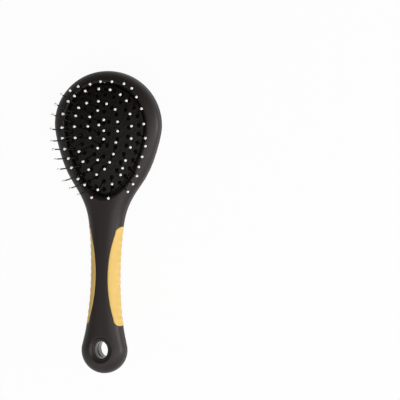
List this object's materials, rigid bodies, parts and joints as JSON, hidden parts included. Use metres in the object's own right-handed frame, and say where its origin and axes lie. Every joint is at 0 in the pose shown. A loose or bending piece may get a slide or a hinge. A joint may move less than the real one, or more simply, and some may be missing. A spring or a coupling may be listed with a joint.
{
  "type": "double-sided pet brush",
  "caption": "Double-sided grooming brush with ball-tipped pins in a rubber cushion, nylon tufts on the back and soft side grips on a waisted handle.",
  "frame": {"origin": "on the plane of the trimmed bristle tips, under the middle of the brush's length and width", "axes": "+Y from the handle's end to the head's top, +Z from the bristle side to the pin side, +X to the right in the picture"},
  "size_m": [0.0766, 0.21, 0.0515],
  "materials": {
    "shell_black": "fine satin, moulded",
    "grip_yellow": "soft matte, moulded over",
    "cushion_rubber": "matte",
    "pin_steel": "drawn wire, white ball tips",
    "bristle_nylon": "satin filament"
  },
  "bodies": {
    "handle": {"front_shell": "shell_black", "back_shell": "shell_black", "right_grip": "grip_yellow", "left_grip": "grip_yellow", "pin_cushion": "cushion_rubber", "bristle_plate": "shell_black", "outer_bristles": "bristle_nylon", "second_bristles": "bristle_nylon", "third_bristles": "bristle_nylon", "centre_bristles": "bristle_nylon"},
    "pin_field": {"outer_pins": "pin_steel", "second_pins": "pin_steel", "third_pins": "pin_steel", "centre_pins": "pin_steel"}
  },
  "joints": [
    {"name": "pin_field_press", "type": "slide", "parent": "handle", "child": "pin_field", "axis": [0, 0, 1], "range_m": [-0.003, 0], "stiffness_N_per_m": 1200, "deforming": ["pin_cushion"]}
  ]
}
